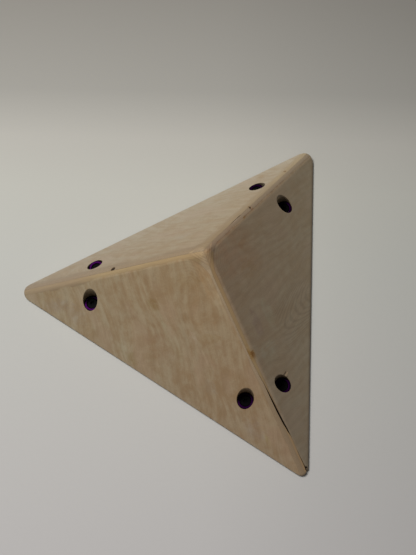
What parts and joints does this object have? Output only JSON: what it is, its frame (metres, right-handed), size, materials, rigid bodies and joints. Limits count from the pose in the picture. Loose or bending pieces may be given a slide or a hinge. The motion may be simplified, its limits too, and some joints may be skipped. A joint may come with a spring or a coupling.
{
  "type": "climbing volume",
  "caption": "Hollow plywood climbing volume: a three-sided cube corner with rounded ridges, screwed to the wall through counterbored holes with cup washers.",
  "frame": {"origin": "on the wall plane, at the middle of the base triangle, straight behind the tip", "axes": "+Z points out of the wall, +Y is up the wall as pictured, and +X is to the right as seen from in front of the wall"},
  "size_m": [0.2906, 0.3343, 0.1695],
  "materials": {
    "birch_plywood": "pale birch plywood, sanded, bare or with one thin matt coat; plies show along the rounded ridges",
    "anodised_washer": "purple anodised, glossy",
    "black_screw": "black coated steel, satin",
    "bright_brad": "bright drawn wire"
  },
  "bodies": {
    "root": {"upper_panel": "birch_plywood", "lower_panel": "birch_plywood", "right_panel": "birch_plywood", "cup_washer_upper_left": "anodised_washer", "cup_washer_upper_right": "anodised_washer", "cup_washer_lower_left": "anodised_washer", "cup_washer_lower_right": "anodised_washer", "cup_washer_right_top": "anodised_washer", "cup_washer_right_bottom": "anodised_washer", "screw_upper_left": "black_screw", "screw_upper_right": "black_screw", "screw_lower_left": "black_screw", "screw_lower_right": "black_screw", "screw_right_top": "black_screw", "screw_right_bottom": "black_screw", "brad_left_ridge_1": "bright_brad", "brad_left_ridge_2": "bright_brad", "brad_top_ridge_1": "bright_brad", "brad_top_ridge_2": "bright_brad", "brad_bottom_ridge_1": "bright_brad", "brad_bottom_ridge_2": "bright_brad"}
  },
  "joints": []
}
